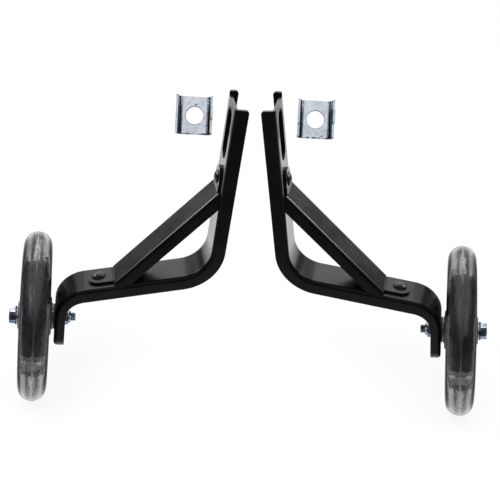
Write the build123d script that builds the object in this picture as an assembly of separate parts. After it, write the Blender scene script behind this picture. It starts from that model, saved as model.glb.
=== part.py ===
from build123d import *
import math
import os

os.makedirs("parts", exist_ok=True)

# A pair of bicycle training wheels, sizes in millimetres and degrees. One unit is drawn about its own wheel
# centre, with X outboard along the axle, Y to the back and Z up. It then takes its stance, and is mirrored.

# Stance of the pair
pair_gap = 6.8          # between the two legs at their tops
unit_lean = 6.9         # the legs lean towards each other at the top
unit_turn = 10.7        # the wheel ends are turned to the front
unit_pitch = 3.2        # the legs lean to the front about the axle

# Tyre
wheel_d = 120.0
tyre_w = 20.0
tyre_edge = 0.8         # chamfer at the mouth of the bore
mould_grip = 0.05       # the tyre is moulded on, so its bore bites by this much

# Hub
core_d = 57.6
core_w = 17.0
groove_w = 13.0         # the groove locks the tyre and holds the light
groove_depth = 2.0
boss_d = 28.0
boss_w = 22.4
boss_edge = 1.0
recess_d = 43.0         # each side is recessed between the boss and the rim
recess_depth = 3.0
rib_count = 6
rib_w = 2.4
sleeve_room = 1.0       # open space round the sleeve between the bushes

# Light module
light_w = 12.0          # along the axle
light_l = 20.0          # round the hub
light_depth = 4.0       # below the groove's floor
light_rise = 0.5        # above the groove's floor
lamp_d = 2.4
lamp_rise = 1.6         # top of a lamp above its module
lamp_pitch = 3.2
light_aim = -40.0       # up from the front of the wheel

# Axle hardware
bolt_d = 6.0
bolt_end = 3.4          # bolt past the nut
bolt_tip = 0.6          # chamfer of the tip
head_af = 10.0          # across flats of the head and of the nut
head_h = 4.2
nut_h = 5.0
collar_d = 8.6          # round collar of the lock nut
collar_h = 1.5
hex_edge = 0.5          # height of the turned corners of a hexagon
hex_turn = 30.0         # their slope
washer_d = 12.8
head_washer_t = 1.2
nut_washer_t = 1.2
spring_washer_d = 11.2
spring_washer_t = 1.6
spring_split = 1.2
spacer_d = 18.0
spacer_t = 1.2
sleeve_d = 10.0
bush_wall = 2.0
bush_l = 9.0
bush_flange_d = 19.0
bush_flange_t = 0.8
inner_play = 0.2        # bush to spacer washer
outer_play = 0.6        # bush to head washer

# Arm
arm_w = 27.6
arm_t = 2.0
arm_depth = 9.5         # leg and run
foot_depth = 7.2
arm_bend_r = 2.6        # outside of the fold between web and flange
arm_reach = 103.1       # face of the leg to face of the foot
run_slope = 12.0
bend_rise = 28.2        # web corner over the foot, above the axle
leg_len = 125.2         # web corner of the elbow to the top
elbow_r = 22.5
bend_r = 24.0
foot_drop = 20.2
foot_r = 10.0
toe_r = 6.0             # outside of the fold under the foot
slot_w = 14.5
slot_span = 21.5        # between the centres of the slot's ends
slot_top = 11.2         # top of the arm to the slot's upper centre
ear_rise = 2.4          # the rear flange stands above the top of the arm
ear_depth = 6.2         # it is lower than the front flange there
ear_len = 34.0          # down to where it is full depth
ear_r = 2.0             # upper corners of both flanges

# Brace
brace_w = 24.8
brace_t = 1.8
brace_depth = 8.7
brace_bend_r = 2.6
fold_r = 4.0
tab_w = 16.0
upper_fold = 62.1       # top of the arm to the upper fold
upper_tab = 7.6         # upper fold to its rivet
lower_fold = 38.9       # face of the foot back to the lower fold
lower_tab = 9.7         # lower fold to its rivet

# Rivets
rivet_d = 5.0
rivet_head_d = 10.0
rivet_head_h = 2.4
rivet_foot_d = 8.4
rivet_foot_h = 1.6

# Axle plates
plate_w = 22.6          # over the folds
plate_h = 25.6
plate_t = 1.5
plate_fold_r = 1.8
plate_hole_d = 12.0
flange_l = 7.8
flange_flare = 8.0
lip_l = 2.4             # the middle tab of one flange stands out by this much
lip_h = 8.8
lip_up = 1.6            # its middle above the hole
plate_tilt = 30.0       # the plates lie back
plate_roll = 0.8        # and turn a little clockwise
plate_off = 25.7        # holes outboard of the leg's face at its top
plate_back = 44.8       # holes behind the wheel centres
plate_rise = 197.1      # holes above the ground

# Clearances and tool lengths
running_gap = 0.05      # radial, bush on sleeve
seat_gap = 0.05         # radial, pieces that are fixed together
bolt_gap = 0.2          # radial, bolt in its holes
over = 1.0              # cutters run past faces by this much
on_base = (Align.CENTER, Align.CENTER, Align.MIN)
hanging = (Align.CENTER, Align.CENTER, Align.MAX)

# Places that follow from the sizes
hub_face = boss_w / 2 + bush_flange_t
foot_x = -(hub_face + inner_play + spacer_t)
leg_x = foot_x - arm_reach
slope = math.tan(math.radians(run_slope))
elbow_z = bend_rise + arm_reach * slope
leg_top = elbow_z + leg_len
sleeve_end = hub_face + outer_play
head_x = sleeve_end + head_washer_t
nut_x = foot_x - arm_t - nut_washer_t - spring_washer_t
core_r = core_d / 2
groove_r = core_r - groove_depth
bush_r = sleeve_d / 2 + running_gap + bush_wall
hole_r = bolt_d / 2 + bolt_gap
arm_line = [(leg_x, leg_top), (leg_x, elbow_z), (foot_x, bend_rise), (foot_x, -foot_drop)]
arm_radii = [elbow_r, bend_r]


def run_height(x):
    """Height of the run's web face at a distance along the axle."""
    return elbow_z - (x - leg_x) * slope


leg_face = Plane(origin=(leg_x, 0, 0), x_dir=(0, 1, 0), z_dir=(1, 0, 0))
foot_face = Plane(origin=(foot_x, 0, 0), x_dir=(0, 1, 0), z_dir=(1, 0, 0))
run_tilt = math.radians(run_slope)
lower_rivet_x = foot_x - lower_fold + lower_tab
upper_rivet_z = leg_top - upper_fold + upper_tab
run_seat = Plane(
    origin=(lower_rivet_x, 0, run_height(lower_rivet_x)),
    x_dir=(0, 1, 0),
    z_dir=(math.sin(run_tilt), 0, math.cos(run_tilt)),
)
leg_seat = Plane(origin=(leg_x, 0, upper_rivet_z), x_dir=(0, 1, 0), z_dir=(1, 0, 0))
axle = Plane(origin=(0, 0, 0), x_dir=(0, 1, 0), z_dir=(1, 0, 0))
# Middle of the light module on the groove's floor, with its own Z pointing out of the wheel
light_place = Rot(90 - light_aim, 0, 0) * Pos(0, 0, groove_r)


def moved_line(points, radii, depths):
    """A bent line after each straight run has moved to its right by its own depth."""
    starts = [Vector(*point) for point in points]
    runs = [(b - a).normalized() for a, b in zip(starts, starts[1:])]
    rights = [Vector(run.Y, -run.X) * depth for run, depth in zip(runs, depths)]
    corners = [starts[0] + rights[0]]
    bent = []
    for i, radius in enumerate(radii):
        p = starts[i] + rights[i]
        q = starts[i + 1] + rights[i + 1]
        turn = runs[i].cross(runs[i + 1]).Z
        corners.append(p + runs[i] * ((q - p).cross(runs[i + 1]).Z / turn))
        bent.append(radius + math.copysign(depths[i], turn))
    corners.append(starts[-1] + rights[-1])
    return FilletPolyline(*corners, radius=bent)


def band(points, radii, near, far):
    """Face between a bent line moved to its right by the near depths and by the far depths."""
    inner = moved_line(points, radii, near)
    outer = moved_line(points, radii, far)
    ends = [Line(inner @ t, outer @ t) for t in (0, 1)]
    return make_face([*inner.edges(), *outer.edges(), *ends])


def ring(outer_d, inner_d, start, end):
    """Tube round the axle from one place to another."""
    section = Circle(outer_d / 2) - Circle(inner_d / 2)
    return axle.offset(start) * extrude(section, end - start)


def hexagon(across, height):
    """Hexagon on its base, with the corners turned off at the top."""
    body = extrude(RegularPolygon(across / 2, 6, major_radius=False), height)
    tip = across / 2
    base = tip + hex_edge / math.tan(math.radians(hex_turn))
    blank = Cylinder(across, height - hex_edge, align=on_base)
    cap = Pos(0, 0, height - hex_edge) * Cone(base, tip, hex_edge, align=on_base)
    return body & (blank + cap)


def channel(points, radii, depths, half_w, end_r, edge_r, under_r):
    """Solid inside a bent channel, with a round end, rounded web edges and a round fold under the end."""
    body = extrude(Plane.XZ * band(points, radii, *depths), half_w, both=True)
    body = fillet(body.edges().filter_by(Axis.X).group_by(Axis.Z)[0], end_r)
    body = fillet(body.edges().filter_by(Axis.Z).group_by(Axis.X)[-1], edge_r)
    x = points[-1][0] - depths[0][-1]
    z = points[-1][1]
    corner = Pos(x, 0, z) * Box(2 * under_r, 3 * half_w, 2 * under_r)
    round_fold = Pos(x - under_r, 0, z + under_r) * Rot(90, 0, 0) * Cylinder(under_r, 3 * half_w)
    return body - (corner - round_fold)


def make_arm():
    ear_top = leg_top + ear_rise
    skin_line = [(leg_x, ear_top), *arm_line[1:]]
    skin = channel(
        skin_line,
        arm_radii,
        ([0, 0, 0], [arm_depth, arm_depth, foot_depth]),
        arm_w / 2,
        foot_r,
        arm_bend_r,
        toe_r,
    )
    hollow_line = [(leg_x, ear_top + over), *arm_line[1:-1], (foot_x, arm_t - foot_drop)]
    far = [arm_depth + over, arm_depth + over, foot_depth + over]
    hollow = channel(
        hollow_line,
        arm_radii,
        ([arm_t] * 3, far),
        arm_w / 2 - arm_t,
        foot_r - arm_t,
        arm_bend_r - arm_t,
        toe_r - arm_t,
    )
    slot_z = leg_top - slot_top - slot_span / 2
    slot = leg_face * Pos(0, slot_z) * SlotCenterToCenter(slot_span, slot_w, rotation=90)
    rivet_hole = Cylinder(rivet_d / 2 + seat_gap, 2 * (arm_t + over))
    axle_hole = Cylinder(hole_r, 2 * (arm_t + over))
    # The front flange and the web end lower than the rear flange, which is cut back at its free edge
    ear_front = arm_w / 2 - arm_bend_r
    ear_x = leg_x - ear_depth
    free_x = leg_x - arm_depth - over
    above = ear_top + over
    web_x = leg_x + over
    low_z = ear_top - ear_len
    slant_z = low_z + arm_depth - ear_depth
    square = Polyline((free_x, leg_top), (web_x, leg_top), (web_x, above), (free_x, above), close=True)
    strip = Polyline((ear_x, above), (ear_x, slant_z), (free_x, low_z - over), (free_x, above), close=True)
    ear_start = Plane.XZ.offset(-ear_front)
    ends = [extrude(ear_start * make_face(square), arm_w), extrude(ear_start * make_face(strip), -arm_w)]
    cuts = [extrude(slot, arm_t + over, both=True), leg_seat * rivet_hole, run_seat * rivet_hole]
    arm = skin - hollow - cuts - foot_face * axle_hole - ends
    across = arm.edges().filter_by(Axis.Y)
    level = across.filter_by_position(Axis.Z, leg_top - seat_gap, leg_top + seat_gap)
    return fillet([*across.group_by(Axis.Z)[-1], level.sort_by(Axis.X)[0]], ear_r)


def make_brace():
    lift = brace_t / math.cos(run_tilt)
    face_x = leg_x + brace_t
    upper = (face_x, leg_top - upper_fold)
    lower_x = foot_x - lower_fold
    lower = (lower_x, run_height(lower_x) + lift)
    ends = [(face_x, upper_rivet_z), (lower_rivet_x, run_height(lower_rivet_x) + lift)]
    strip = extrude(
        Plane.XZ * band([ends[0], upper, lower, ends[1]], [fold_r] * 2, [0] * 3, [brace_t] * 3),
        tab_w / 2,
        both=True,
    )
    pad = Cylinder(tab_w / 2, brace_t, align=on_base)
    strip += [leg_seat * pad, run_seat * pad]
    # The strut between the folds: a channel that is open below, cut to the faces of the leg and of the run
    along = (Vector(*lower) - Vector(*upper)).normalized()
    inward = Vector(along.Y, -along.X)
    deep = Vector(*upper) + inward * brace_depth
    foot_of_leg = deep + along * ((leg_x - deep.X) / along.X)
    gap = deep.Y - run_height(deep.X)
    foot_of_run = deep - along * (gap / (along.Y + along.X * slope))
    under = (lower_x - brace_t * math.sin(run_tilt), lower[1] - brace_t * math.cos(run_tilt))
    side = make_face(Polyline(upper, lower, under, foot_of_run, foot_of_leg, (leg_x, upper[1]), close=True))
    strut = extrude(Plane.XZ * side, brace_w / 2, both=True)
    crown = strut.faces().sort_by(Axis((0, 0, 0), (-inward.X, 0, -inward.Y)))[-1]
    strut = fillet(crown.edges().filter_by(Axis((0, 0, 0), (along.X, 0, along.Y))), brace_bend_r)
    past = 2 * brace_depth
    back = Vector(*upper) + inward * brace_t - along * past
    front = Vector(*lower) + inward * brace_t + along * past
    room = make_face(Polyline(back, front, front + inward * past, back + inward * past, close=True))
    strut -= extrude(Plane.XZ * room, brace_w / 2 - brace_t, both=True)
    hole = Cylinder(rivet_d / 2 + seat_gap, 2 * (brace_t + over))
    return strut + strip - leg_seat * hole - run_seat * hole


def make_rivet(seat):
    cap_r = ((rivet_head_d / 2) ** 2 + rivet_head_h**2) / (2 * rivet_head_h)
    ball = Pos(0, 0, rivet_head_h - cap_r) * Sphere(cap_r)
    dome = split(ball, bisect_by=Plane.XY, keep=Keep.TOP)
    stack = brace_t + arm_t
    shank = Cylinder(rivet_d / 2, stack, align=hanging)
    formed = Pos(0, 0, -stack) * Cylinder(rivet_foot_d / 2, rivet_foot_h, align=hanging)
    formed = chamfer(formed.edges().group_by(Axis.Z)[0], rivet_foot_h / 2)
    return seat * Pos(0, 0, brace_t) * (dome + shank + formed)


def light_block(grow):
    low = light_depth + grow
    high = light_rise + grow
    body = Pos(0, 0, -low) * Box(light_w + 2 * grow, light_l + 2 * grow, low + high, align=on_base)
    lamp_r = lamp_d / 2 + grow
    post = lamp_rise + light_rise - lamp_d / 2
    lamp = Cylinder(lamp_r, post, align=on_base) + Pos(0, 0, post) * Sphere(lamp_r)
    return body + [Pos(side * lamp_pitch / 2) * lamp for side in (-1, 1)]


def make_tyre():
    half = tyre_w / 2
    shoulder = wheel_d / 2 - half
    bore = core_r - mould_grip
    floor = groove_r - mould_grip
    step = groove_w / 2 - mould_grip
    rim = Polyline(
        (half, shoulder),
        (half, bore + tyre_edge),
        (half - tyre_edge, bore),
        (step, bore),
        (step, floor),
        (-step, floor),
        (-step, bore),
        (tyre_edge - half, bore),
        (-half, bore + tyre_edge),
        (-half, shoulder),
    )
    tread = ThreePointArc((-half, shoulder), (0, wheel_d / 2), (half, shoulder))
    tyre = revolve(make_face([*rim.edges(), tread]), Axis.X)
    return tyre - light_place * light_block(-mould_grip)


def make_hub():
    boss_r = boss_d / 2
    bore_r = bush_r + seat_gap
    mid_r = sleeve_d / 2 + sleeve_room
    bush_end = boss_w / 2 - bush_l
    half = [
        (0, groove_r),
        (groove_w / 2, groove_r),
        (groove_w / 2, core_r),
        (core_w / 2, core_r),
        (core_w / 2, boss_r),
        (boss_w / 2 - boss_edge, boss_r),
        (boss_w / 2, boss_r - boss_edge),
        (boss_w / 2, bore_r),
        (bush_end, bore_r),
        (bush_end, mid_r),
        (0, mid_r),
    ]
    side = revolve(make_face(Polyline(*half, close=True)), Axis.X)
    recess = ring(recess_d, boss_d, core_w / 2 - recess_depth, core_w / 2 + over)
    rib = Pos(core_w / 2, 0, recess_d / 4) * Box(2 * core_w, rib_w, recess_d / 2 + over)
    side -= recess - [Rot(360 * i / rib_count, 0, 0) * rib for i in range(rib_count)]
    hub = side + mirror(side, about=Plane.YZ)
    return hub - light_place * light_block(seat_gap)


def make_bush():
    bore = sleeve_d + 2 * running_gap
    body = ring(2 * bush_r, bore, boss_w / 2 - bush_l + seat_gap, boss_w / 2)
    return body + ring(bush_flange_d, bore, boss_w / 2, hub_face)


def make_bolt():
    length = head_x - nut_x + nut_h + collar_h + bolt_end
    shank = Cylinder(bolt_d / 2, length, align=hanging)
    shank = chamfer(shank.edges().group_by(Axis.Z)[0], bolt_tip)
    return axle.offset(head_x) * (hexagon(head_af, head_h) + shank)


def make_nut():
    body = hexagon(head_af, nut_h)
    collar = Cylinder(collar_d / 2, nut_h + collar_h, align=on_base)
    collar = chamfer(collar.edges().group_by(Axis.Z)[-1], hex_edge)
    bore = Cylinder(bolt_d / 2 + seat_gap, 2 * (nut_h + collar_h + over))
    inboard = Plane(origin=(nut_x, 0, 0), x_dir=(0, 1, 0), z_dir=(-1, 0, 0))
    return inboard * (body + collar - bore)


def make_spring_washer():
    start = foot_x - arm_t - nut_washer_t - spring_washer_t
    body = ring(spring_washer_d, 2 * hole_r, start, start + spring_washer_t)
    split_cut = Pos(start, 0, spring_washer_d / 2) * Box(4 * spring_washer_t, spring_split, spring_washer_d)
    return body - split_cut


def make_plate():
    """Plate in its own frame: hole at the origin, flanges towards -Y, Z up."""
    flare = math.radians(flange_flare)
    reach = Vector(math.sin(flare), -math.cos(flare))
    long_l = flange_l + lip_l
    line = [
        Vector(-plate_w / 2, 0) + Vector(-reach.X, reach.Y) * flange_l,
        Vector(-plate_w / 2, 0),
        Vector(plate_w / 2, 0),
        Vector(plate_w / 2, 0) + reach * long_l,
    ]
    folds = band(line[::-1], [plate_fold_r] * 2, [0] * 3, [-plate_t] * 3)
    body = extrude(folds, plate_h / 2, both=True)
    edge = Location((plate_w / 2, 0, 0), (0, 0, flange_flare)) * Pos(0, -flange_l, 0)
    for side in (-1, 1):
        spare = (plate_h - lip_h) / 2 - side * lip_up + over
        mid = lip_up + side * (lip_h + spare) / 2
        body -= edge * Pos(0, -lip_l, mid) * Box(plate_w / 2, 2 * lip_l, spare)
    hole = Rot(90, 0, 0) * Cylinder(plate_hole_d / 2, 2 * (plate_t + over))
    return body - hole


bush = make_bush()
unit = {
    "arm": make_arm(),
    "brace": make_brace(),
    "upper_rivet": make_rivet(leg_seat),
    "lower_rivet": make_rivet(run_seat),
    "tyre": make_tyre(),
    "hub": make_hub(),
    "outer_bush": bush,
    "inner_bush": mirror(bush, about=Plane.YZ),
    "light_module": light_place * light_block(0),
    "axle_sleeve": ring(sleeve_d, 2 * hole_r, foot_x, sleeve_end),
    "axle_bolt": make_bolt(),
    "head_washer": ring(washer_d, 2 * hole_r, sleeve_end, head_x),
    "spacer_washer": ring(spacer_d, sleeve_d + 2 * seat_gap, foot_x, foot_x + spacer_t),
    "nut_washer": ring(washer_d, 2 * hole_r, foot_x - arm_t - nut_washer_t, foot_x - arm_t),
    "spring_washer": make_spring_washer(),
    "lock_nut": make_nut(),
}

# Stance: the wheel touches the ground, the leg leans in and to the front, and the wheel end turns forward
tread_r = tyre_w / 2
wheel_rise = (wheel_d / 2 - tread_r) * math.cos(math.radians(unit_lean)) + tread_r
lean = Rot(0, 0, -unit_turn) * Rot(0, -unit_lean, 0) * Rot(unit_pitch, 0, 0)
inner_top = (lean * Pos(leg_x - arm_depth, -arm_w / 2, leg_top)).position
wheel_spread = pair_gap - 2 * inner_top.X
stance = Pos(wheel_spread / 2, 0, wheel_rise) * lean

parts = {}
for name, solid in unit.items():
    parts["right_" + name] = stance * solid
    parts["left_" + name] = mirror(stance * solid, about=Plane.YZ)

# The loose axle plates lie back beside the tops of the legs, both the same way round
plate = make_plate()
plate_x = (stance * Pos(leg_x, 0, leg_top)).position.X + plate_off
for name, side in (("left", -1), ("right", 1)):
    place = Pos(side * plate_x, plate_back, plate_rise)
    parts[name + "_axle_plate"] = place * Rot(-plate_tilt, 0, 0) * Rot(0, plate_roll, 0) * plate

for name, solid in parts.items():
    export_step(solid, f"parts/{name}.step")
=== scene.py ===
import math
from itertools import repeat

import bmesh
import bpy
from mathutils import Matrix, Vector


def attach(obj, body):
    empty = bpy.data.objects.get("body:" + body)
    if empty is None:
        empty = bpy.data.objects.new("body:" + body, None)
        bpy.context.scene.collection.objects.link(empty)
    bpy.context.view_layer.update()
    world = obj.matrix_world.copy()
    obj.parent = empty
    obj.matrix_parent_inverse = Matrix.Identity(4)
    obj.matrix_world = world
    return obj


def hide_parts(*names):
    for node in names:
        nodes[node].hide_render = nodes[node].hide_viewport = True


# Looks of a pair of bicycle training wheels: black coated arms, bright zinc hardware and clear lit wheels
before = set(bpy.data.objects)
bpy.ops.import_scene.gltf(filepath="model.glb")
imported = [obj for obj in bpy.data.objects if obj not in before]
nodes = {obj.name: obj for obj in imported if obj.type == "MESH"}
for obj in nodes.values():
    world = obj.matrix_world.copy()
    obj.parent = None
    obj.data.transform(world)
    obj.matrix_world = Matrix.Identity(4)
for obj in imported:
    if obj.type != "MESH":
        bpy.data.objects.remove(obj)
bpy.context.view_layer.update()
MM = 0.001
SIDES = ("left", "right")

# Sizes of the pieces are in mm, as in the solids, and become metres where used; the stage is in metres

# Stance of a unit, drawn about its wheel centre with X outboard along the axle
wheel_spread = 302.52
wheel_rise = 59.64
unit_lean = math.radians(6.9)
unit_turn = math.radians(10.7)
unit_pitch = math.radians(3.2)

# The loose axle plates lie back beside the tops of the legs
plate_tilt = math.radians(30.0)
plate_hole = Vector((40.83, 44.8, 197.1))
plate_hole_r = 6.0
plate_half = 12.8
# Where the dark of their cut places fades, out from the hole and up from the lower edge, and where the
# painted shade line along each fold fades across it
rim_fade = (0.5, 0.1)
foot_fade = (1.3, 0.5)
fold_shade_in = (8.8, 9.3)
fold_shade_out = (10.2, 9.8)

# Clear tyre: outside, round tread, bore with a chamfered mouth, tongue in the hub's groove, seam ridge
tyre_r = 60.0
tread_r = 10.0
tyre_half = 10.0
bore_r = 28.75
mouth = 0.8
tongue_r = 26.75
tongue_half = 6.45
seam_foot = 0.9
seam_rise = 0.1
tyre_turns = 240
tread_steps = 44
flank_steps = 6
# Where its finishes fade: the grey flanks and the painted shade of its dark edge line, in from each flank,
# and the frosted seam
flank_fade = (0.5, 0.1)
outline_fade_in = (4.0, 1.5)
outline_fade_out = (0.03, 0.15)
seam_fade = (0.9, 0.4)

# Light module in the hub: a lamp case, a dark box below it, and two lamps in cups at the case's upper end
module_w = 12.0
module_l = 20.0
module_low = -4.0
module_high = 0.5
module_corner = 0.8
module_chamfer = 0.3
module_brim = 0.4
module_brim_step = (0.1, 0.12)
module_seat = 26.8
module_aim = math.radians(-40.0)
case_foot = -3.4
box_top = -3.8
corner_steps = 6
lamp_r = 1.2
lamp_rise = 1.6
lamp_sunk = 0.2
lamp_pitch = 5.0
lamp_up = 8.2
cup_r = 1.5
cup_wall = 0.12
cup_gap = 0.05
cup_low = 0.02
cup_high = 0.75
lamp_turns = 32
dome_steps = 10

# Axle bolt: places along it are outboard from the wheel's middle, its chamfer's steps down from the top
head_x = 13.8
head_h = 4.2
head_half = 5.0
head_slope = math.tan(math.radians(30.0))
head_chamfer = (0.9, 0.6, 0.45, 0.3, 0.15, 0.0)
dish_r = 3.4
dish_wall = 0.3
dish_deep = 0.2
bolt_r = 3.0
tip_x = -28.1
tip_cut = 0.6
thread_from = -17.0
thread_pitch = 1.0
thread_depth = 0.45
thread_steps = 60
bolt_turns = 72


def stance(side):
    """Place of a unit in the scene; the left unit mirrors the right one."""
    right = (
        Matrix.Translation(Vector((wheel_spread / 2, 0, wheel_rise)) * MM)
        @ Matrix.Rotation(-unit_turn, 4, "Z")
        @ Matrix.Rotation(-unit_lean, 4, "Y")
        @ Matrix.Rotation(unit_pitch, 4, "X")
    )
    return right if side == "right" else Matrix.Scale(-1, 4, (1, 0, 0)) @ right


# Small helpers that add nodes to a shader group or a material


def set_inputs(tree, made, values):
    """Links each value that is a socket to the node's input, and sets each plain value on it."""
    for key, value in values.items():
        if isinstance(value, bpy.types.NodeSocket):
            tree.links.new(value, made.inputs[key])
        else:
            made.inputs[key].default_value = value


def node(tree, kind, values=None, **settings):
    made = tree.nodes.new("ShaderNode" + kind)
    for key, value in settings.items():
        setattr(made, key, value)
    set_inputs(tree, made, values or {})
    return made


def math_node(tree, operation, a, b=0.0, c=0.0, clamp=False):
    return node(tree, "Math", {0: a, 1: b, 2: c}, operation=operation, use_clamp=clamp).outputs[0]


def scaled(tree, value, times, plus):
    return math_node(tree, "MULTIPLY_ADD", value, times, plus)


def vector_node(tree, operation, a, b=None):
    """Works out a vector or a number; b is the second vector, or the factor where a is scaled."""
    values = {0: a}
    if b is not None:
        values["Scale" if operation == "SCALE" else 1] = b
    made = node(tree, "VectorMath", values, operation=operation)
    return made.outputs["Value" if operation in ("DOT_PRODUCT", "LENGTH") else "Vector"]


def ramp(tree, value, low, high, low_out=0.0, high_out=1.0):
    """Smooth change from one value to another as the given value goes from low to high."""
    values = {"Value": value, 1: low, 2: high, 3: low_out, 4: high_out}
    return node(tree, "MapRange", values, interpolation_type="SMOOTHSTEP").outputs[0]


def size_ramp(tree, size, low, high):
    """A ramp between two sizes in mm."""
    return ramp(tree, size, low * MM, high * MM)


def noise(tree, place, scale, detail, rough=0.5):
    values = {"Vector": place, "Scale": scale, "Detail": detail, "Roughness": rough}
    return node(tree, "TexNoise", values).outputs[0]


def blend_colour(tree, share, a, b):
    """Mixes colour a with the given share of colour b; each is a socket or a plain colour."""
    ends = [tint if isinstance(tint, bpy.types.NodeSocket) else (*tint, 1) for tint in (a, b)]
    return node(tree, "Mix", {0: share, 6: ends[0], 7: ends[1]}, data_type="RGBA").outputs[2]


def on_right_side(tree, place):
    """A place mirrored to the right unit, so that both units are described once."""
    apart = node(tree, "SeparateXYZ", {0: place}).outputs
    across = math_node(tree, "ABSOLUTE", apart["X"])
    return node(tree, "CombineXYZ", {0: across, 1: apart["Y"], 2: apart["Z"]}).outputs[0]


def background_rays(tree, path):
    """1 for the rays that see the white background: from the camera, off gloss and through clear pieces."""
    seen = math_node(tree, "ADD", path.outputs["Is Camera Ray"], path.outputs["Is Glossy Ray"], clamp=True)
    return math_node(tree, "ADD", seen, path.outputs["Is Transmission Ray"], clamp=True)


# Shader groups


def new_group(name, inputs, outputs):
    tree = bpy.data.node_groups.new(name, "ShaderNodeTree")
    for label, kind, value in inputs:
        socket = tree.interface.new_socket(label, in_out="INPUT", socket_type="NodeSocket" + kind)
        if value is not None:
            socket.default_value = value
    for label, kind in outputs:
        tree.interface.new_socket(label, in_out="OUTPUT", socket_type="NodeSocket" + kind)
    return tree, tree.nodes.new("NodeGroupInput").outputs, tree.nodes.new("NodeGroupOutput")


def use_group(tree, group, **values):
    """Places a group with its own values; an underscore in a key stands for a blank."""
    made = node(tree, "Group", node_tree=group)
    set_inputs(tree, made, {key.replace("_", " "): value for key, value in values.items()})
    return made.outputs


def skin_ripple_group():
    """Slow ripple of a sprayed or moulded skin, with a cloudy change of gloss."""
    tree, given, out = new_group(
        "skin_ripple",
        [("Place", "Vector", None), ("Ripple Scale", "Float", 900.0), ("Cloud Scale", "Float", 60.0)],
        [("Height", "Float"), ("Cloud", "Float")],
    )
    ripple = noise(tree, given["Place"], given["Ripple Scale"], detail=1.5)
    cloud = noise(tree, given["Place"], given["Cloud Scale"], detail=3.0, rough=0.55)
    set_inputs(tree, out, {"Height": ripple, "Cloud": ramp(tree, cloud, 0.3, 0.7)})
    return tree


def handling_marks_group():
    """Fine handling scratches in two directions, and small dark pits."""
    tree, given, out = new_group(
        "handling_marks",
        [
            ("Place", "Vector", None),
            ("Scratch Scale", "Float", 120.0),
            ("Pit Scale", "Float", 260.0),
            ("Pit Share", "Float", 0.1),
        ],
        [("Scratches", "Float"), ("Pits", "Float")],
    )
    drawn_out = (0.08, 1.0, 1.0)
    lines = []
    for turn in (0.5, -0.9):
        aim = {"Vector": given["Place"], "Rotation": (turn, turn * 0.7, turn), "Scale": drawn_out}
        turned = node(tree, "Mapping", aim).outputs[0]
        streak = noise(tree, turned, given["Scratch Scale"], detail=4.0, rough=0.7)
        lines.append(ramp(tree, streak, 0.62, 0.72))
    # Some cells of a cell pattern hold a pit, each of its own size
    cell = node(tree, "TexVoronoi", {"Vector": given["Place"], "Scale": given["Pit Scale"]}).outputs
    draw = node(tree, "SeparateColor", {0: cell["Color"]}).outputs
    picked = math_node(tree, "LESS_THAN", draw[0], given["Pit Share"])
    pit_r = scaled(tree, draw[1], times=0.22, plus=0.12)
    inside = ramp(tree, math_node(tree, "SUBTRACT", pit_r, cell["Distance"]), 0.0, 0.08)
    pits = math_node(tree, "MULTIPLY", picked, inside)
    set_inputs(tree, out, {"Scratches": math_node(tree, "MAXIMUM", *lines), "Pits": pits})
    return tree


def place_on_wheel_group():
    """Where a point lies along its wheel's axle, and a place for marks that run round the wheel."""
    tree, given, out = new_group(
        "place_on_wheel",
        [("Place", "Vector", None), ("Across", "Float", 900.0), ("Round", "Float", 3.0)],
        [("Along", "Float"), ("Streaks", "Vector")],
    )
    at = stance("right")
    from_centre = vector_node(tree, "SUBTRACT", on_right_side(tree, given["Place"]), at.to_translation())
    along, v, w = (vector_node(tree, "DOT_PRODUCT", from_centre, axis) for axis in at.to_3x3().col)
    spoke = vector_node(tree, "NORMALIZE", node(tree, "CombineXYZ", {1: v, 2: w}).outputs[0])
    turned = vector_node(tree, "SCALE", spoke, given["Round"])
    across = node(tree, "CombineXYZ", {0: math_node(tree, "MULTIPLY", along, given["Across"])}).outputs[0]
    set_inputs(tree, out, {"Along": along, "Streaks": vector_node(tree, "ADD", across, turned)})
    return tree


SKIN_RIPPLE = skin_ripple_group()
HANDLING_MARKS = handling_marks_group()
PLACE_ON_WHEEL = place_on_wheel_group()


# Materials


def new_material(name):
    material = bpy.data.materials.new(name)
    material.use_nodes = True
    tree = material.node_tree
    shader = tree.nodes["Principled BSDF"]
    place = tree.nodes.new("ShaderNodeTexCoord").outputs["Object"]
    return material, tree, shader, place


def set_bump(tree, shader, height, depth):
    bump = node(tree, "Bump", {"Height": height, "Distance": depth * MM})
    tree.links.new(bump.outputs[0], shader.inputs["Normal"])


def black_coat():
    """Gloss black coat of the pressed steel."""
    material, tree, shader, place = new_material("gloss_black_coat")
    skin = use_group(tree, SKIN_RIPPLE, Place=place, Ripple_Scale=650.0, Cloud_Scale=45.0)
    marks = use_group(
        tree, HANDLING_MARKS, Place=place, Scratch_Scale=160.0, Pit_Scale=500.0, Pit_Share=0.05
    )
    tint = blend_colour(tree, skin["Cloud"], (0.0016, 0.0016, 0.0017), (0.003, 0.003, 0.0032))
    gloss = scaled(tree, skin["Cloud"], times=0.06, plus=0.2)
    looks = {
        "Base Color": tint,
        "Roughness": scaled(tree, marks["Scratches"], times=0.05, plus=gloss),
        "IOR": 1.55,
        "Specular Tint": (0.08, 0.08, 0.085, 1),
    }
    set_inputs(tree, shader, looks)
    set_bump(tree, shader, skin["Height"], depth=0.02)
    return material


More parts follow.
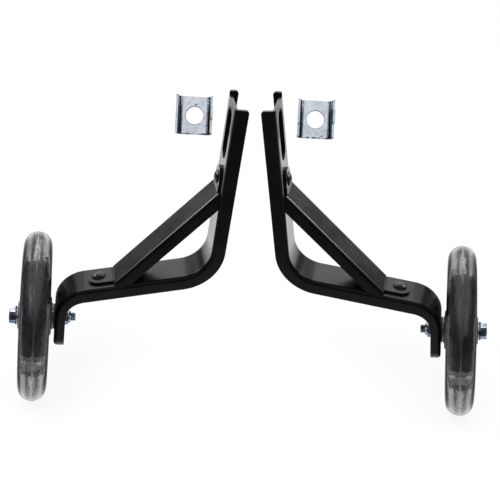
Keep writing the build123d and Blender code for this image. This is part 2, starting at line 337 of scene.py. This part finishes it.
def zinc(name, low, high, edge, rough, scratch_scale=420.0, pit_scale=700.0, pit_share=0.1):
    """Zinc plating, cloudy between two tints, with scratches and dark pits."""
    material, tree, shader, place = new_material(name)
    skin = use_group(tree, SKIN_RIPPLE, Place=place, Ripple_Scale=900.0, Cloud_Scale=220.0)
    marks = use_group(
        tree,
        HANDLING_MARKS,
        Place=place,
        Scratch_Scale=scratch_scale,
        Pit_Scale=pit_scale,
        Pit_Share=pit_share,
    )
    tint = blend_colour(tree, skin["Cloud"], low, high)
    looks = {
        "Base Color": blend_colour(tree, marks["Pits"], tint, (0.02, 0.022, 0.026)),
        "Roughness": scaled(tree, marks["Scratches"], times=0.12, plus=rough),
        "Metallic": 1.0,
        "Specular Tint": (*edge, 1),
    }
    set_inputs(tree, shader, looks)
    height = math_node(tree, "SUBTRACT", skin["Height"], marks["Pits"])
    set_bump(tree, shader, height, depth=0.08)
    return material


def cut_edges_and_fold_shade(material, dark):
    """Darkens an axle plate where it is sheared, bored or torn and the plating hardly covers it, and paints
    a dark line of shade along each fold.
    """
    tree = material.node_tree
    shader = tree.nodes["Principled BSDF"]
    coords = tree.nodes.new("ShaderNodeTexCoord").outputs
    up = Vector((0, math.sin(plate_tilt), math.cos(plate_tilt)))
    facing = Vector((0, -math.cos(plate_tilt), math.sin(plate_tilt)))
    from_hole = vector_node(tree, "SUBTRACT", on_right_side(tree, coords["Object"]), plate_hole * MM)
    # Upper and lower edges, and the rim of the hole, with some plating left on them
    level = math_node(tree, "ABSOLUTE", vector_node(tree, "DOT_PRODUCT", coords["Normal"], up))
    sheared = ramp(tree, level, 0.8, 0.95)
    depth = vector_node(tree, "DOT_PRODUCT", from_hole, facing)
    flat = vector_node(tree, "SUBTRACT", from_hole, vector_node(tree, "SCALE", facing, depth))
    reach = vector_node(tree, "LENGTH", flat)
    rim = size_ramp(tree, reach, *(plate_hole_r + out for out in rim_fade))
    worn = noise(tree, coords["Object"], scale=900.0, detail=3.0)
    worn = ramp(tree, worn, 0.3, 0.5, low_out=0.35)
    mask = math_node(tree, "MULTIPLY", math_node(tree, "MAXIMUM", sheared, rim), worn)
    # A dark line of painted shade along each fold
    across = math_node(tree, "ABSOLUTE", node(tree, "SeparateXYZ", {0: from_hole}).outputs["X"])
    fold = size_ramp(tree, across, *fold_shade_in)
    fold = math_node(tree, "MULTIPLY", fold, size_ramp(tree, across, *fold_shade_out))
    mask = math_node(tree, "MAXIMUM", mask, fold)
    # Torn patches just above the lower edge
    height = vector_node(tree, "DOT_PRODUCT", from_hole, up)
    foot = size_ramp(tree, height, *(up_from - plate_half for up_from in foot_fade))
    torn = ramp(tree, noise(tree, coords["Object"], scale=420.0, detail=3.0), 0.42, 0.55)
    mask = math_node(tree, "MAXIMUM", mask, math_node(tree, "MULTIPLY", foot, torn))
    plated = shader.inputs["Base Color"].links[0].from_socket
    set_inputs(tree, shader, {"Base Color": blend_colour(tree, mask, plated, dark)})


def clear_tyre():
    """Clear moulded plastic, streaky round the wheel, a little grey through its depth and on its flanks,
    with painted shade as a dark line where it turns away.
    """
    material, tree, shader, place = new_material("clear_tyre")
    skin = use_group(tree, SKIN_RIPPLE, Place=place, Ripple_Scale=260.0, Cloud_Scale=38.0)
    spot = use_group(tree, PLACE_ON_WHEEL, Place=place, Across=900.0, Round=3.5)
    facing = node(tree, "LayerWeight", {"Blend": 0.5}).outputs["Facing"]
    offset = math_node(tree, "ABSOLUTE", spot["Along"])
    flow = noise(tree, spot["Streaks"], scale=1.0, detail=3.0, rough=0.6)
    streak = ramp(tree, flow, 0.47, 0.68)
    flank = size_ramp(tree, offset, *(tyre_half - inset for inset in flank_fade))
    tint = blend_colour(tree, streak, (0.92, 0.92, 0.92), (0.70, 0.70, 0.695))
    # Painted shade: a black coat, seen only where the skin turns away, draws the dark edge that thick clear
    # plastic shows by refraction
    shoulder = ramp(tree, facing, 0.44, 0.68)
    for fade in (outline_fade_in, outline_fade_out):
        band = size_ramp(tree, offset, *(tyre_half - inset for inset in fade))
        shoulder = math_node(tree, "MULTIPLY", shoulder, band)
    painted_edge_shade = math_node(tree, "MAXIMUM", shoulder, ramp(tree, facing, 0.8, 0.95))
    # The flanks are frosted, and so is the seam where it faces the eye
    seam = size_ramp(tree, offset, *seam_fade)
    seam = math_node(tree, "MULTIPLY", seam, ramp(tree, facing, 0.45, 0.25))
    frosted = scaled(tree, seam, times=0.4, plus=scaled(tree, streak, times=0.24, plus=0.05))
    looks = {
        "Base Color": blend_colour(tree, flank, tint, (0.55, 0.55, 0.54)),
        "Roughness": math_node(tree, "MAXIMUM", frosted, math_node(tree, "MULTIPLY", flank, 0.3)),
        "IOR": 1.49,
        "Specular Tint": (0.5, 0.5, 0.51, 1),
        "Transmission Weight": 1.0,
        "Coat Weight": painted_edge_shade,
        "Coat Tint": (0.003, 0.003, 0.0032, 1),
        "Coat IOR": 1.05,
    }
    set_inputs(tree, shader, looks)
    height = scaled(tree, flow, times=0.25, plus=skin["Height"])
    set_bump(tree, shader, height, depth=0.24)
    haze = node(tree, "VolumeAbsorption", {"Color": (0.50, 0.49, 0.475, 1), "Density": 20.0})
    tree.links.new(haze.outputs[0], tree.nodes["Material Output"].inputs["Volume"])
    return material


def moulded(name, low, high, rough):
    """Moulded plastic, cloudy between two tints."""
    material, tree, shader, place = new_material(name)
    skin = use_group(tree, SKIN_RIPPLE, Place=place, Ripple_Scale=1500.0, Cloud_Scale=110.0)
    tint = blend_colour(tree, skin["Cloud"], low, high)
    gloss = scaled(tree, skin["Cloud"], times=0.1, plus=rough)
    set_inputs(tree, shader, {"Base Color": tint, "Roughness": gloss})
    set_bump(tree, shader, skin["Height"], depth=0.05)
    return material


coat = black_coat()
bolt_zinc = zinc(
    "bright_bolt_zinc",
    low=(0.10, 0.12, 0.155),
    high=(0.40, 0.45, 0.53),
    edge=(0.16, 0.18, 0.22),
    rough=0.14,
)
# The washers are coloured far darker than zinc: painted shade that draws the dark gaps beside them
shaded_washer_zinc = zinc(
    "washer_zinc_painted_shade",
    low=(0.02, 0.024, 0.03),
    high=(0.09, 0.10, 0.12),
    edge=(0.05, 0.055, 0.065),
    rough=0.24,
)
plate_zinc = zinc(
    "axle_plate_zinc",
    low=(0.38, 0.42, 0.46),
    high=(0.47, 0.515, 0.56),
    edge=(0.45, 0.48, 0.52),
    rough=0.26,
    scratch_scale=260.0,
    pit_scale=420.0,
    pit_share=0.2,
)
cut_edges_and_fold_shade(plate_zinc, dark=(0.03, 0.032, 0.036))
clear = clear_tyre()
hub_black = moulded("hub_black", low=(0.0085, 0.0081, 0.012), high=(0.0185, 0.018, 0.024), rough=0.6)
bush_black = moulded("bush_black", low=(0.02, 0.02, 0.021), high=(0.03, 0.03, 0.032), rough=0.5)
lamp_case = moulded("lamp_case", low=(0.20, 0.20, 0.205), high=(0.31, 0.31, 0.315), rough=0.2)
lamp_lens = moulded("lamp_lens", low=(0.86, 0.88, 0.90), high=(0.95, 0.96, 0.97), rough=0.06)
lamp_cup = zinc(
    "lamp_cup",
    low=(0.86, 0.87, 0.88),
    high=(0.95, 0.95, 0.95),
    edge=(0.9, 0.9, 0.9),
    rough=0.08,
    pit_share=0.0,
)

FINISH = {
    "arm": coat,
    "brace": coat,
    "upper_rivet": coat,
    "lower_rivet": coat,
    "hub": hub_black,
    "outer_bush": bush_black,
    "inner_bush": bush_black,
    "light_module": lamp_case,
    "axle_sleeve": bolt_zinc,
    "axle_bolt": bolt_zinc,
    "head_washer": shaded_washer_zinc,
    "spacer_washer": bush_black,
    "nut_washer": bolt_zinc,
    "spring_washer": shaded_washer_zinc,
    "lock_nut": bolt_zinc,
    "axle_plate": plate_zinc,
}
for side in SIDES:
    for piece, finish in FINISH.items():
        for slot in nodes[f"{side}_{piece}"].material_slots:
            slot.material = finish


# Pieces that the scene shapes itself, each as rings of points joined into a skin


def turns(count):
    return [math.tau * i / count for i in range(count)]


def add_rings(shape, rings, at, bands, low_cap=None, high_cap=None, closed=False):
    """Joins each ring to the next by a band of its own finish, and closes both ends or joins them."""
    made = [[shape.verts.new(at @ (point * MM)) for point in ring] for ring in rings]
    after = made[1:] + made[:1] if closed else made[1:]
    for low, high, finish in zip(made, after, bands):
        for i in range(len(low)):
            k = (i + 1) % len(low)
            shape.faces.new((low[i], low[k], high[k], high[i])).material_index = finish
    for ring, cap in ((made[0], low_cap), (made[-1], high_cap)):
        if cap is not None:
            shape.faces.new(ring).material_index = cap


def new_piece(name, shape, finishes, sharp):
    """Makes an object of the shape, smooth but for edges that turn by more degrees than sharp says."""
    bmesh.ops.recalc_face_normals(shape, faces=shape.faces)
    mesh = bpy.data.meshes.new(name)
    shape.to_mesh(mesh)
    shape.free()
    for finish in finishes:
        mesh.materials.append(finish)
    mesh.shade_smooth()
    mesh.set_sharp_from_angle(angle=math.radians(sharp))
    made = bpy.data.objects.new(name, mesh)
    bpy.context.collection.objects.link(made)
    return made


def tyre_section():
    """Outline of the tyre as (along the axle, radius), over the tread from one tongue edge to the other."""
    flank_low = bore_r + mouth
    flank_h = tyre_r - tread_r - flank_low
    side = [(-tongue_half, tongue_r), (-tongue_half, bore_r), (mouth - tyre_half, bore_r)]
    side += [(-tyre_half, flank_low + k * flank_h / flank_steps) for k in range(flank_steps)]
    tread = []
    for k in range(tread_steps + 1):
        angle = math.pi * (1 - k / tread_steps)
        x = tread_r * math.cos(angle)
        seam = seam_rise * max(0.0, 1 - abs(x) / seam_foot)
        tread.append((x, tyre_r - tread_r + tread_r * math.sin(angle) + seam))
    return side + tread + [(-x, r) for x, r in reversed(side)]


def tyre_piece(side):
    section = tyre_section()
    rings = [
        [Vector((x, r * math.cos(turn), r * math.sin(turn))) for x, r in section]
        for turn in turns(tyre_turns)
    ]
    shape = bmesh.new()
    add_rings(shape, rings, stance(side), repeat(0), closed=True)
    return new_piece(f"{side}_clear_tyre", shape, (clear,), sharp=35.0)


def module_block(foot, top):
    """Rings of a block from foot to top round the hub, with rounded upright edges and a rounded brim."""
    step_down, step_in = module_brim_step
    levels = (
        (module_low, module_chamfer),
        (module_low + module_chamfer, 0.0),
        (module_high - module_brim, 0.0),
        (module_high - step_down, step_in),
        (module_high, module_brim),
    )
    rings = []
    for z, inset in levels:
        ring = []
        for quarter, (across, along) in enumerate(((1, 1), (-1, 1), (-1, -1), (1, -1))):
            x = across * (module_w / 2 - module_corner)
            y = (foot + top) / 2 + along * ((top - foot) / 2 - module_corner)
            for k in range(corner_steps + 1):
                turn = math.pi / 2 * (quarter + k / corner_steps)
                r = module_corner - inset
                ring.append(Vector((x + r * math.cos(turn), y + r * math.sin(turn), z)))
        rings.append(ring)
    return rings


def lamp_circles(x, rows):
    """Circles about a lamp's middle, for rows of (radius, height)."""
    return [
        [Vector((x + r * math.cos(turn), lamp_up + r * math.sin(turn), z)) for turn in turns(lamp_turns)]
        for r, z in rows
    ]


def lamp_rows():
    """A lamp from its foot to the top of its dome."""
    post = module_high + lamp_rise - lamp_r
    rows = [(lamp_r, module_high - lamp_sunk), (lamp_r, post)]
    for k in range(1, dome_steps):
        angle = math.pi / 2 * k / dome_steps
        rows.append((lamp_r * math.cos(angle), post + lamp_r * math.sin(angle)))
    return rows


def cup_rows():
    """The bright cup round a lamp: up its outside, over its brim and down its inside."""
    low = module_high + cup_low
    high = module_high + cup_high
    return [(cup_r, low), (cup_r, high), (cup_r - cup_wall, high), (lamp_r + cup_gap, low)]


def module_piece(side):
    at = (
        stance(side)
        @ Matrix.Rotation(math.pi / 2 - module_aim, 4, "X")
        @ Matrix.Translation((0, 0, module_seat * MM))
    )
    case, lens, cup, dark = range(4)
    shape = bmesh.new()
    add_rings(shape, module_block(case_foot, module_l / 2), at, [case, case, dark, dark], case, case)
    add_rings(shape, module_block(-module_l / 2, box_top), at, repeat(dark), dark, dark)
    for x in (-lamp_pitch / 2, lamp_pitch / 2):
        add_rings(shape, lamp_circles(x, lamp_rows()), at, repeat(lens), lens, lens)
        add_rings(shape, lamp_circles(x, cup_rows()), at, repeat(cup), closed=True)
    return new_piece(f"{side}_lit_module", shape, (lamp_case, lamp_lens, lamp_cup, hub_black), sharp=35.0)


def thread_r(x, turn):
    """Radius of the threaded end, which runs out into the shank and is cut back at the tip."""
    phase = (x / thread_pitch - turn / math.tau) % 1.0
    run_out = min(1.0, (thread_from - x) / thread_pitch)
    groove = thread_depth * (1 - abs(2 * phase - 1)) * run_out
    cut = max(0.0, tip_cut - (x - tip_x))
    return bolt_r - max(groove, cut)


def head_r(below_top, turn):
    """Radius of the hexagon head, with its corners cut to a cone near the top."""
    hexagon = head_half / math.cos(turn % (math.pi / 3) - math.pi / 6)
    return min(hexagon, head_half + below_top / head_slope)


def bolt_piece(side):
    around = turns(bolt_turns)
    top = head_x + head_h
    rows = []
    for k in range(thread_steps + 1):
        x = tip_x + (thread_from - tip_x) * k / thread_steps
        rows.append((x, [thread_r(x, turn) for turn in around]))
    rows.append((head_x, [bolt_r] * bolt_turns))
    for below_top in (head_h, *head_chamfer):
        rows.append((top - below_top, [head_r(below_top, turn) for turn in around]))
    rows.append((top, [dish_r + dish_wall] * bolt_turns))
    rows.append((top - dish_deep, [dish_r] * bolt_turns))
    rings = [
        [Vector((x, r * math.cos(turn), r * math.sin(turn))) for turn, r in zip(around, radii)]
        for x, radii in rows
    ]
    shape = bmesh.new()
    add_rings(shape, rings, stance(side), repeat(0), 0, 0)
    return new_piece(f"{side}_threaded_bolt", shape, (bolt_zinc,), sharp=25.0)


# The narrow highlight lamps leave the clear tyres out, so that their tread shows no stray glints
tyres = bpy.data.collections.new("clear_tyres")
for side in SIDES:
    tyre = tyre_piece(side)
    tyres.objects.link(tyre)
    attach(tyre, f"{side}_wheel")
    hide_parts(f"{side}_tyre")
for row in tyres.collection_objects:
    row.light_linking.link_state = "EXCLUDE"

for side in SIDES:
    module = module_piece(side)
    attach(module, f"{side}_wheel")
    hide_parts(f"{side}_light_module")

for side in SIDES:
    bolt = bolt_piece(side)
    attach(bolt, "frame")
    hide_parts(f"{side}_axle_bolt")


# Stage, light and camera


def stage_floor():
    """A pale floor that keeps the shadows, and is white where the background is."""
    reach = 6.0
    mesh = bpy.data.meshes.new("floor")
    corners = [(-reach, -reach, 0), (reach, -reach, 0), (reach, reach, 0), (-reach, reach, 0)]
    mesh.from_pydata(corners, [], [(0, 1, 2, 3)])
    made = bpy.data.objects.new("floor", mesh)
    bpy.context.collection.objects.link(made)
    material, tree, shader, place = new_material("pale_floor")
    tree.nodes.remove(shader)
    path = tree.nodes.new("ShaderNodeLightPath")
    paint = node(tree, "BsdfDiffuse", {"Color": (0.86, 0.86, 0.86, 1)})
    # Reflections show the floor brighter, and dim towards the front, as the room is there
    front = node(tree, "SeparateXYZ", {0: place}).outputs["Y"]
    lift = ramp(tree, front, -0.18, -0.06, low_out=-0.8, high_out=0.55)
    bright = scaled(tree, path.outputs["Is Glossy Ray"], times=lift, plus=1.02)
    glow = node(tree, "Emission", {"Color": (1, 1, 1, 1), "Strength": bright})
    share = math_node(tree, "MULTIPLY", background_rays(tree, path), 0.8)
    both = node(tree, "MixShader", {0: share, 1: paint.outputs[0], 2: glow.outputs[0]})
    tree.links.new(both.outputs[0], tree.nodes["Material Output"].inputs["Surface"])
    mesh.materials.append(material)


def studio_room():
    """A white room, brighter overhead, that lights the pieces at about half its brightness."""
    world = bpy.data.worlds.new("studio")
    bpy.context.scene.world = world
    world.use_nodes = True
    tree = world.node_tree
    path = tree.nodes.new("ShaderNodeLightPath")
    way = node(tree, "SeparateXYZ", {0: tree.nodes.new("ShaderNodeTexCoord").outputs["Generated"]}).outputs
    level = scaled(tree, background_rays(tree, path), times=0.45, plus=0.55)
    # Glossy pieces see it dim low down, at both sides and in front
    aside = ramp(tree, math_node(tree, "ABSOLUTE", way["X"]), 0.4, 0.75)
    aside = math_node(tree, "MULTIPLY", aside, ramp(tree, way["Z"], 0.8, 0.4))
    ahead = ramp(tree, way["Y"], -0.7, -0.88)
    ahead = math_node(tree, "MULTIPLY", ahead, ramp(tree, way["Z"], 0.52, 0.42))
    dim = math_node(tree, "MAXIMUM", aside, ahead)
    dim = math_node(tree, "MULTIPLY", dim, path.outputs["Is Glossy Ray"])
    level = math_node(tree, "MULTIPLY", level, scaled(tree, dim, times=-0.9, plus=1.0))
    overhead = scaled(tree, ramp(tree, way["Z"], 0.3, 0.9), times=0.8, plus=1.0)
    level = math_node(tree, "MULTIPLY", level, overhead)
    set_inputs(tree, tree.nodes["Background"], {"Strength": level, "Color": (1, 1, 1, 1)})


def studio_lamps():
    """Soft lamps that light the pieces, and narrow ones that show only as highlights on folds and edges."""
    target = Vector((0, 0, 0.1))
    soft, narrow, plain = range(3)
    for name, spot, size, power, use in (
        ("key", (-0.5, -0.5, 1.0), (0.7, 0.7), 5.5, soft),
        ("fill", (0.6, -0.5, 0.8), (0.7, 0.7), 3.5, soft),
        ("back", (0.0, 0.9, 0.9), (0.9, 0.9), 4.0, plain),
        ("strip", (0.0, 0.5, 0.95), (1.6, 0.12), 8.0, narrow),
        ("left_panel", (-0.8, 0.28, 0.55), (0.7, 0.2), 9.0, narrow),
        ("right_panel", (0.8, 0.28, 0.55), (0.7, 0.2), 9.0, narrow),
    ):
        lamp = bpy.data.lights.new(name, "AREA")
        lamp.shape = "RECTANGLE"
        lamp.size, lamp.size_y = size
        lamp.energy = power
        made = bpy.data.objects.new(name, lamp)
        made.location = spot
        made.rotation_euler = (target - Vector(spot)).to_track_quat("-Z", "Y").to_euler()
        made.visible_glossy = use != soft
        made.visible_diffuse = use != narrow
        if use == narrow:
            made.light_linking.receiver_collection = tyres
        bpy.context.collection.objects.link(made)


def camera():
    """The photograph's view: from in front and above, turned a little about the line of sight."""
    spot = Vector((-0.31, -528.30, 424.52)) * MM
    aim = Vector((-0.31, 24.40, 105.42)) * MM
    roll = math.radians(1.97)
    lens = bpy.data.cameras.new("camera")
    lens.sensor_width = 36.0
    lens.lens = 64.8
    lens.clip_start, lens.clip_end = 0.01, 50.0
    made = bpy.data.objects.new("camera", lens)
    turn = (aim - spot).to_track_quat("-Z", "Y").to_matrix().to_4x4()
    made.matrix_world = Matrix.Translation(spot) @ turn @ Matrix.Rotation(roll, 4, "Z")
    bpy.context.collection.objects.link(made)
    bpy.context.scene.camera = made


stage_floor()
studio_room()
studio_lamps()
camera()
bpy.context.scene.view_settings.view_transform = "Standard"
